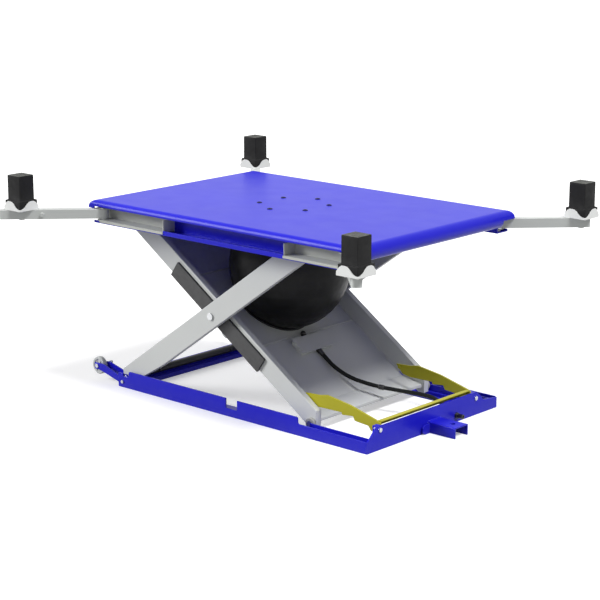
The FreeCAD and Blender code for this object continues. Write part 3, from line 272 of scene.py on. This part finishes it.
BLUE = (0.009, 0.0085, 0.53, 1)
LIGHT = (0.61, 0.625, 0.617, 1)
MATERIALS = {
    "frame_blue": painted("blue_coat", BLUE, (0.3, 0.3, 0.42, 1), wear=0.45),
    "leg_grey": painted("grey_coat", LIGHT, (0.3, 0.3, 0.29, 1), rough=0.42, wear=0.4),
    "pocket_grey": painted("pocket_coat", (0.5, 0.515, 0.48, 1), (0.25, 0.25, 0.24, 1),
                           rough=0.45, wear=0.4),
    "arm_grey": painted("arm_coat", (0.58, 0.6, 0.585, 1), (0.28, 0.28, 0.27, 1),
                        rough=0.4, wear=0.45),
    "latch_yellow": painted("yellow_coat", (0.43, 0.4, 0.02, 1), (0.2, 0.19, 0.12, 1), rough=0.4),
    "holder_white": painted("holder_coat", (0.8, 0.81, 0.8, 1), (0.35, 0.35, 0.34, 1), rough=0.38),
    "block_rubber": rubbery("block_rubber", (0.011, 0.011, 0.0115, 1), rough=0.6, grain=420,
                            rubbed=0.75),
    "bag_rubber": rubbery("bag_rubber", (0.007, 0.007, 0.0075, 1), rough=0.4, grain=300,
                          bump=0.12, chalk=0.2),
    "hose_rubber": rubbery("hose_rubber", (0.011, 0.012, 0.012, 1), rough=0.42, grain=700,
                           bump=0.3),
    "wear_plastic": plastic("wear_plastic", (0.035, 0.035, 0.036, 1), rough=0.55),
    "roller_plastic": plastic("roller_plastic", (0.33, 0.33, 0.31, 1), rough=0.42),
    "wheel_plastic": plastic("wheel_plastic", (0.55, 0.57, 0.57, 1), rough=0.42),
    "pin_steel": steel("pin_steel", (0.55, 0.56, 0.57, 1)),
    "dark_steel": painted("screw_coat", (0.014, 0.012, 0.05, 1), (0.1, 0.1, 0.12, 1),
                          rough=0.5, wear=0.3),
    "ring_steel": painted("ring_coat", (0.02, 0.02, 0.024, 1), (0.2, 0.2, 0.2, 1), wear=0.3),
    "fitting_black": plastic("fitting_black", (0.012, 0.012, 0.013, 1), rough=0.35),
}

# The cross tube gets the dark ring coat in place of its own grey: painted shade, standing in for
# the shadow it sits in under the frame
PAINTED_SHADE_COATS = {"outer_cross_tube": "ring_steel"}
for part in frame["record"]["subparts"]:
    mesh = nodes[part["node"]].data
    mesh.materials.clear()
    mesh.materials.append(MATERIALS[PAINTED_SHADE_COATS.get(part["node"], part["material_slot"])])


# Mesh helpers
def made(name, bm, slot, body=None, smooth=True, angle=None):
    """Object from a finished bmesh, with the slot's material, riding on a body if one is named."""
    bmesh.ops.recalc_face_normals(bm, faces=bm.faces[:])
    mesh = bpy.data.meshes.new(name)
    bm.to_mesh(mesh)
    bm.free()
    if smooth:
        mesh.shade_smooth()
    if angle:
        mesh.set_sharp_from_angle(angle=math.radians(angle))
    mesh.materials.append(MATERIALS[slot])
    obj = bpy.data.objects.new(name, mesh)
    bpy.context.scene.collection.objects.link(obj)
    if body:
        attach(obj, body)
    return obj


def frame_of(axis):
    """The axis at length 1, and two directions square to it."""
    axis = Vector(axis).normalized()
    side = axis.cross(Z if abs(axis.z) < 0.9 else X).normalized()
    return axis, side, axis.cross(side)


def lathe(bm, at, axis, profile, steps=32):
    """Turned form: the profile holds pairs of height along the axis and radius."""
    axis, side, up = frame_of(axis)
    rings = []
    for height, radius in profile:
        if radius < 1e-6:
            rings.append([bm.verts.new(at + axis * height)])
            continue
        middle = at + axis * height
        rings.append([bm.verts.new(middle + (side * math.cos(a) + up * math.sin(a)) * radius)
                      for a in (2 * math.pi * i / steps for i in range(steps))])
    for low, high in zip(rings, rings[1:]):
        for i in range(steps):
            j = (i + 1) % steps
            corners = [(low, i), (low, j), (high, j), (high, i)]
            face = list(dict.fromkeys(ring[k % len(ring)] for ring, k in corners))
            if len(face) > 2:
                bm.faces.new(face)
    for ring in (rings[0], rings[-1]):
        if len(ring) > 1:
            bm.faces.new(ring)


BEAD_STEP = 0.0045
BEAD_SIDES = 8


def bead(bm, points, radius):
    """Weld bead: a low rippled ridge along a run of points."""
    length = sum((b - a).length for a, b in zip(points, points[1:]))
    count = max(4, int(length / BEAD_STEP))
    rings = []
    spots = []
    for a, b in zip(points, points[1:]):
        steps = max(2, int(count * ((b - a).length / length)))
        for i in range(steps):
            spots.append((a.lerp(b, i / steps), (b - a).normalized()))
    spots.append((points[-1], (points[-1] - points[-2]).normalized()))
    for i, (spot, heading) in enumerate(spots):
        _, side, up = frame_of(heading)
        swell = radius * (1 + 0.16 * math.sin(i * 2.1) + random.uniform(-0.05, 0.05))
        if i in (0, len(spots) - 1):
            swell *= 0.45
        rings.append([bm.verts.new(spot + (side * math.cos(a) + up * math.sin(a)) * swell)
                      for a in (2 * math.pi * k / BEAD_SIDES for k in range(BEAD_SIDES))])
    for low, high in zip(rings, rings[1:]):
        for k in range(BEAD_SIDES):
            j = (k + 1) % BEAD_SIDES
            bm.faces.new((low[k], low[j], high[j], high[k]))
    bm.faces.new(rings[0])
    bm.faces.new(rings[-1])


def box_form(bm, corners):
    """Closed box from two opposite corners."""
    (x0, y0, z0), (x1, y1, z1) = corners
    made_box = bmesh.ops.create_cube(bm, size=1)["verts"]
    bmesh.ops.scale(bm, vec=(x1 - x0, y1 - y0, z1 - z0), verts=made_box)
    bmesh.ops.translate(bm, vec=((x0 + x1) / 2, (y0 + y1) / 2, (z0 + z1) / 2), verts=made_box)
    return made_box


# Air hose: two pieces that meet under the lower cross plate
HOSE_REAR = [(0.1144, 0.005, 0.2337), (0.157, 0.005, 0.2039), (0.215, -0.003, 0.172),
             (0.284, 0.014, 0.137), (0.352, 0.042, 0.116), (0.430, 0.064, 0.107)]
HOSE_FRONT = [(0.431, 0.0643, 0.107), (0.500, 0.084, 0.103), (0.572, 0.108, 0.100),
              (0.636, 0.130, 0.095), (0.690, 0.144, 0.080), (0.733, 0.151, 0.047)]
HOSE_DIAMETER = 0.018


def spline_object(name, points, bevel):
    """Curve through the hose's control points, a line or a tube."""
    curve = bpy.data.curves.new(name, "CURVE")
    curve.dimensions = "3D"
    curve.resolution_u = 12
    curve.bevel_depth = bevel
    curve.bevel_resolution = 5
    curve.use_fill_caps = bevel > 0
    spline = curve.splines.new("NURBS")
    spline.points.add(len(points) - 1)
    for point, place in zip(spline.points, points):
        point.co = (*place, 1)
    spline.order_u = 3
    spline.use_endpoint_u = True
    obj = bpy.data.objects.new(name, curve)
    bpy.context.scene.collection.objects.link(obj)
    return obj


def mesh_of(obj):
    bpy.context.view_layer.update()
    graph = bpy.context.evaluated_depsgraph_get()
    return bpy.data.meshes.new_from_object(obj.evaluated_get(graph))


def hose(name, points, node, body):
    line = spline_object(name + "_line", points, 0)
    path = [v.co.copy() for v in mesh_of(line).vertices]
    tube = spline_object(name + "_tube", points, HOSE_DIAMETER / 2)
    mesh = mesh_of(tube)
    mesh.shade_smooth()
    for o in (line, tube):
        bpy.data.objects.remove(o)
    mesh.materials.clear()
    mesh.materials.append(MATERIALS["hose_rubber"])
    piece = bpy.data.objects.new(name, mesh)
    bpy.context.scene.collection.objects.link(piece)
    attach(piece, body)
    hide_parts(node)
    return piece


hose("hose_rear", HOSE_REAR, "air_hose_rear", "inner_frame")
hose_front = hose("hose_front", HOSE_FRONT, "air_hose_front", "base")
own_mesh(hose_front)


def sleeve(name, body, at, heading, back, profile):
    """Turned sleeve on the hose, from a little back of a point and along the heading."""
    heading = heading.normalized()
    bm = bmesh.new()
    lathe(bm, Vector(at) - heading * back, heading, profile)
    made(name, bm, "fitting_black", body, angle=40)


sleeve("hose_ferrule_rear", "inner_frame", HOSE_REAR[0],
       Vector(HOSE_REAR[1]) - Vector(HOSE_REAR[0]), 0.004,
       [(0, 0.0115), (0.002, 0.0125), (0.02, 0.0125), (0.024, 0.0108), (0.038, 0.0104),
        (0.04, 0.0098)])
sleeve("hose_joiner", "inner_frame", HOSE_REAR[-1],
       Vector(HOSE_REAR[-1]) - Vector(HOSE_REAR[-2]), 0.012,
       [(0, 0.0098), (0.002, 0.0112), (0.024, 0.0112), (0.026, 0.0098)])
sleeve("hose_ferrule_front", "base", HOSE_FRONT[-1],
       Vector(HOSE_FRONT[-2]) - Vector(HOSE_FRONT[-1]), 0.0,
       [(0, 0.0118), (0.016, 0.0118), (0.018, 0.0104), (0.024, 0.0098)])


# Air bag: an egg with faint moulded rings, cut flat by the plate's ring and by the deck's ring
BAG = CENTRE + Vector((SPAN * 0.0566, 0, SPAN * 0.1325))
BAG_RADIUS = 0.272
BAG_HALF = SPAN * 0.219
BAG_TOP = DECK_UNDER - 0.0103
BAG_FOOT = -0.0217
RING_DEPTH = 0.0035
RING_WAVES = 44
BAG_ROWS = 84
BAG_STEPS = 128


def air_bag():
    bm = bmesh.new()
    rings = []
    for i in range(BAG_ROWS + 1):
        lift = -math.pi / 2 + math.pi * i / BAG_ROWS
        ripple = 1 - RING_DEPTH * (0.5 + 0.5 * math.cos(lift * RING_WAVES))
        radius = BAG_RADIUS * math.cos(lift) * ripple
        ring = []
        for k in range(BAG_STEPS):
            a = 2 * math.pi * k / BAG_STEPS
            p = BAG + Vector((radius * math.cos(a), radius * math.sin(a),
                              BAG_HALF * math.sin(lift)))
            p.z = min(p.z, BAG_TOP)
            low = (p - TOP_REAR).dot(OUT) - BAG_FOOT
            if low < 0:
                p -= OUT * low
            ring.append(bm.verts.new(p))
        rings.append(ring)
    for low, high in zip(rings, rings[1:]):
        for k in range(BAG_STEPS):
            j = (k + 1) % BAG_STEPS
            bm.faces.new((low[k], low[j], high[j], high[k]))
    bmesh.ops.remove_doubles(bm, verts=bm.verts[:], dist=0.0006)
    bag = made("air_bag", bm, "bag_rubber")
    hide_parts("airbag")
    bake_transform(bag)


def bag_ring():
    """Flat steel ring that clamps the bag's foot to the plate."""
    bm = bmesh.new()
    lathe(bm, on_inner(0.645, -0.030), OUT, [(0, 0.187), (0.006, 0.187), (0.0078, 0.1845)], 96)
    made("bag_ring_low", bm, "ring_steel", "inner_frame", angle=40)


air_bag()
bag_ring()


# Lifting blocks: a wide foot in the holder, a plain column and a ribbed top
BLOCK_HALF = 0.0415
BLOCK_FOOT = 0.042
BLOCK_RIBS = 9
CORNER_STEPS = 4


def rounded_square(half, bend):
    """Outline of a square with round corners, around its own middle."""
    ring = []
    for quarter in range(4):
        for i in range(CORNER_STEPS + 1):
            a = math.pi / 2 * i / CORNER_STEPS
            x = half - bend + math.cos(a) * bend
            y = half - bend + math.sin(a) * bend
            c, s = math.cos(math.pi / 2 * quarter), math.sin(math.pi / 2 * quarter)
            ring.append(Vector((x * c - y * s, x * s + y * c, 0)))
    return ring


def stacked(bm, middle, levels):
    """Closed form of square slices: each level holds a height, a half width and a corner radius."""
    rings = [[bm.verts.new((middle.x + p.x, middle.y + p.y, z))
              for p in rounded_square(half, bend)] for z, half, bend in levels]
    for low, high in zip(rings, rings[1:]):
        for i in range(len(low)):
            j = (i + 1) % len(low)
            bm.faces.new((low[i], low[j], high[j], high[i]))
    bm.faces.new(rings[0])
    bm.faces.new(rings[-1])


def lifting_block(corner):
    low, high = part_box("rubber_block_" + corner)
    middle = (low + high) / 2
    foot = (high.x - low.x) / 2
    half = BLOCK_HALF
    foot_top = low.z + BLOCK_FOOT
    bm = bmesh.new()
    stacked(bm, middle, [(low.z, foot - 0.001, 0.003), (low.z + 0.002, foot, 0.004),
                         (foot_top - 0.004, foot, 0.004), (foot_top - 0.001, foot - 0.001, 0.004),
                         (foot_top, foot - 0.004, 0.004), (foot_top, half + 0.0015, 0.0035),
                         (foot_top + 0.003, half, 0.0035), (foot_top + 0.05, half - 0.0002, 0.0035),
                         (high.z - 0.012, half - 0.0002, 0.0035),
                         (high.z - 0.003, half - 0.0004, 0.0035),
                         (high.z - 0.0012, half - 0.0012, 0.0035),
                         (high.z - 0.0008, half - 0.003, 0.003)])
    pitch = 2 * half * 0.9 / BLOCK_RIBS
    for i in range(BLOCK_RIBS):
        x = middle.x - half * 0.9 + pitch * (i + 0.5)
        verts = box_form(bm, ((x - pitch * 0.3, middle.y - half * 0.88, high.z - 0.003),
                              (x + pitch * 0.3, middle.y + half * 0.88, high.z)))
        for v in [v for v in verts if v.co.z > high.z - 0.001]:
            v.co.x = x + (v.co.x - x) * 0.7
            v.co.y = middle.y + (v.co.y - middle.y) * 0.985
    block = made("lifting_block_" + corner, bm, "block_rubber", "pad_" + corner, angle=35)
    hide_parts("rubber_block_" + corner)


for corner in CORNERS:
    lifting_block(corner)


# Transport wheels: turned tread, dished web with ribs and a hub
WHEEL = Vector((-0.854, 0.425, 0.069))
WHEEL_HALF = 0.0115
WHEEL_RIBS = 6


def transport_wheel(side):
    at = Vector((WHEEL.x, WHEEL.y * SIDES[side], WHEEL.z))
    half = WHEEL_HALF
    bm = bmesh.new()
    lathe(bm, at, Y, [
        (-half, 0.0063), (-half, 0.0135), (-half + 0.0008, 0.0148), (-half + 0.0035, 0.0155),
        (-half + 0.0045, 0.0275), (-half + 0.0005, 0.0295), (-half, 0.0375),
        (-half + 0.0025, 0.0402), (-half + 0.005, 0.041), (half - 0.005, 0.041),
        (half - 0.0025, 0.0402), (half, 0.0375), (half - 0.0005, 0.0295), (half - 0.0045, 0.0275),
        (half - 0.0035, 0.0155), (half - 0.0008, 0.0148), (half, 0.0135), (half, 0.0063)], 64)
    wheel = made("wheel_" + side, bm, "wheel_plastic", "wheel_" + side, angle=40)
    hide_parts("transport_wheel_" + side)
    ribs = bmesh.new()
    for face_side in (-1, 1):
        web = Matrix.Translation(at + Y * face_side * (half - 0.0046))
        for k in range(WHEEL_RIBS):
            verts = box_form(ribs, ((0.0145, -0.0012, 0), (0.029, 0.0012, 0.0036)))
            turn = Matrix.Rotation(-2 * math.pi * k / WHEEL_RIBS, 4, "Y")
            tip = Matrix.Rotation(-math.pi / 2 * face_side, 4, "X")
            bmesh.ops.transform(ribs, matrix=web @ turn @ tip, verts=verts)
    made("wheel_ribs_" + side, ribs, "wheel_plastic", "wheel_" + side, smooth=False)


for side in SIDES:
    transport_wheel(side)


# Screws in the deck
SCREWS = 6
SCREW_CIRCLE = 0.157
SCREW_MIDDLE = CENTRE.x + 0.099
FIRST_SCREW = 30


def deck_screws():
    bm = bmesh.new()
    low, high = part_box("deck_bolts")
    rise = high.z - DECK_TOP
    for k in range(SCREWS):
        a = math.radians(FIRST_SCREW + 360 / SCREWS * k)
        at = Vector((SCREW_MIDDLE + SCREW_CIRCLE * math.cos(a), SCREW_CIRCLE * math.sin(a),
                     DECK_TOP))
        lathe(bm, at, Z, [(0, 0.0122), (rise * 0.35, 0.012), (rise * 0.8, 0.0102), (rise, 0.0075),
                          (rise, 0.0058), (rise * 0.4, 0.0052), (rise * 0.4, 0)], 24)
        lathe(bm, at, Z, [(low.z - DECK_TOP, 0.008), (-0.0005, 0.008)], 16)
    heads = made("deck_screw_heads", bm, "dark_steel", "platform", angle=35)
    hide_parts("deck_bolts")


# Laps and lid on the inner frame, measured along it from the upper rear pivot
LAPS = (0.404, 0.860)
LAP_HALF = 0.006
LAP_REACH = 0.347
COVER = (0.892, 0.967)
COVER_TOP = -0.0080


def tilted_plate(bm, along, y, up, soft=0.0008):
    """Flat piece on the inner frame, given by its reach along, across and away from the frame."""
    verts = box_form(bm, ((along[0], y[0], up[0]), (along[1], y[1], up[1])))
    edges = list({e for v in verts for e in v.link_edges})
    rounded = bmesh.ops.bevel(bm, geom=edges, offset=soft, segments=2, affect="EDGES")
    turned = {v for f in rounded["faces"] for v in f.verts} | {v for v in verts if v.is_valid}
    for v in turned:
        v.co = on_inner(v.co.x, v.co.z, v.co.y)


def plate_details():
    """Folded laps across the inner plate, and the thin lid of the cover box."""
    laps = bmesh.new()
    for along in LAPS:
        tilted_plate(laps, (along - LAP_HALF, along + LAP_HALF), (-LAP_REACH, LAP_REACH),
                     (-0.0306, -0.0258), 0.0022)
    made("plate_laps", laps, "leg_grey", "inner_frame", angle=60)
    lid = bmesh.new()
    low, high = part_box("cover_box")
    tilted_plate(lid, (COVER[0] - 0.005, COVER[1] + 0.008), (low.y - 0.008, high.y + 0.008),
                 (COVER_TOP + 0.0004, COVER_TOP + 0.0034))
    made("cover_lid", lid, "leg_grey", "inner_frame", angle=60)


# Tabs at the rear end of the rails
TAB_REAR = -0.709
TAB_FRONT = -0.677
TAB_LOW = 0.046
TAB_TOP = 0.066


def rail_ends():
    """Upright tab at the rear end of each rail, where the wheel bracket is bolted on."""
    bm = bmesh.new()
    for sy in SIDES.values():
        verts = box_form(bm, ((TAB_REAR, 0.4400 * sy, TAB_LOW), (TAB_FRONT, 0.4449 * sy, TAB_TOP)))
        edges = [e for e in {e for v in verts for e in v.link_edges}
                 if all(abs(v.co.z - TAB_TOP) < 1e-5 for v in e.verts)]
        bmesh.ops.bevel(bm, geom=edges, offset=0.0012, segments=2, affect="EDGES")
    made("rail_end_tabs", bm, "frame_blue", "base", angle=50)


# Welds
PLATE_WELD_UP = -0.0295
PLATE_WELD_Y = 0.3495
PLATE_WELDS = ((0.05, 0.43), (0.88, 1.2))
FRONT_FACE = 0.7755
LUG_WELD_Y = 0.4035
LUG_WELD_RADIUS = 0.0175
LATCH_WELD_X = 0.7445
LATCH_WELDS_Y = (-0.3405, 0.2605)


def run(bm, start, end, radius=0.003):
    """Straight weld between two points."""
    bead(bm, [Vector(start), Vector(end)], radius)


def welds():
    plate = bmesh.new()
    for sy in SIDES.values():
        for start, end in PLATE_WELDS:
            run(plate, on_inner(start, PLATE_WELD_UP, PLATE_WELD_Y * sy),
                on_inner(end, PLATE_WELD_UP, PLATE_WELD_Y * sy), 0.0035)
    made("frame_welds", plate, "leg_grey", "inner_frame")
    base = bmesh.new()
    for sy in SIDES.values():
        run(base, (FRONT_FACE, 0.0455 * sy, 0.002), (FRONT_FACE, 0.0455 * sy, 0.044))
        run(base, (0.7685, 0.436 * sy, 0.008), (0.7685, 0.436 * sy, 0.044))
        run(base, (-0.7095, 0.439 * sy, 0.05), (-0.7095, 0.412 * sy, 0.05))
        run(base, (0.45, 0.4385 * sy, 0.0065), (0.76, 0.4385 * sy, 0.0065))
    run(base, (FRONT_FACE, -0.042, 0.0485), (FRONT_FACE, 0.042, 0.0485))
    made("base_welds", base, "frame_blue", "base")
    legs = bmesh.new()
    for sy in SIDES.values():
        ring = [BASE_PIVOT + Y * LUG_WELD_Y * sy
                + Vector((math.cos(a), 0, math.sin(a))) * LUG_WELD_RADIUS
                for a in (2 * math.pi * k / 16 for k in range(17))]
        bead(legs, ring, 0.0025)
    made("leg_welds", legs, "leg_grey", "outer_legs")
    latch = bmesh.new()
    for y in LATCH_WELDS_Y:
        run(latch, (LATCH_WELD_X, y, 0.097), (LATCH_WELD_X, y, 0.1145), 0.0025)
        run(latch, (LATCH_WELD_X, y, 0.1155), (0.761, y, 0.1155), 0.0025)
    made("latch_welds", latch, "latch_yellow", "latch")


deck_screws()
plate_details()
rail_ends()
welds()


# Floor, light and world: paper and sky are white to the eye, to gloss and through glass
FLOOR_HALF = 90
WORLD_LIGHT = 0.36


def stage():
    mesh = bpy.data.meshes.new("floor")
    bm = bmesh.new()
    bmesh.ops.create_grid(bm, x_segments=1, y_segments=1, size=FLOOR_HALF)
    bm.to_mesh(mesh)
    bm.free()
    floor = bpy.data.objects.new("floor", mesh)
    floor.location.z = -0.0005
    bpy.context.scene.collection.objects.link(floor)
    t = Tree("floor_paper")
    path = t.nodes.new("ShaderNodeLightPath")
    seen = t.math("MAXIMUM", path.outputs["Is Camera Ray"], path.outputs["Is Glossy Ray"])
    seen = t.math("MAXIMUM", seen, path.outputs["Is Transmission Ray"])
    t.set(Base_Color=t.mix(seen, grey(0.3), grey(0.86)), Roughness=0.9, Specular_IOR_Level=0.1)
    t.set(Emission_Color=grey(1.0), Emission_Strength=t.math("MULTIPLY", seen, 0.3))
    mesh.materials.append(t.mat)


def lamp(name, azimuth, height, strength, spread):
    """Sun lamp from an azimuth and a height, and with a spread, all in degrees."""
    data = bpy.data.lights.new(name, "SUN")
    data.energy = strength
    data.angle = math.radians(spread)
    obj = bpy.data.objects.new(name, data)
    back = toward_eye(azimuth, height)
    obj.rotation_euler = back.to_track_quat("Z", "Y").to_euler()
    obj.location = back * 6
    bpy.context.scene.collection.objects.link(obj)


def world():
    made_world = bpy.data.worlds.new("studio")
    bpy.context.scene.world = made_world
    made_world.use_nodes = True
    tree = made_world.node_tree
    background = tree.nodes["Background"]
    background.inputs["Color"].default_value = grey(1.0)
    path = tree.nodes.new("ShaderNodeLightPath")
    seen = path.outputs["Is Camera Ray"]
    for ray in ("Is Glossy Ray", "Is Transmission Ray"):
        either = tree.nodes.new("ShaderNodeMath")
        either.operation = "MAXIMUM"
        tree.links.new(seen, either.inputs[0])
        tree.links.new(path.outputs[ray], either.inputs[1])
        seen = either.outputs[0]
    share = tree.nodes.new("ShaderNodeMapRange")
    tree.links.new(seen, share.inputs["Value"])
    share.inputs["To Min"].default_value = WORLD_LIGHT
    share.inputs["To Max"].default_value = 1.0
    tree.links.new(share.outputs[0], background.inputs["Strength"])


stage()
lamp("near_side", -46, 27, 2.5, 25)
lamp("front_side", 98, 59, 2.75, 18)
world()
bpy.context.scene.view_settings.view_transform = "Standard"
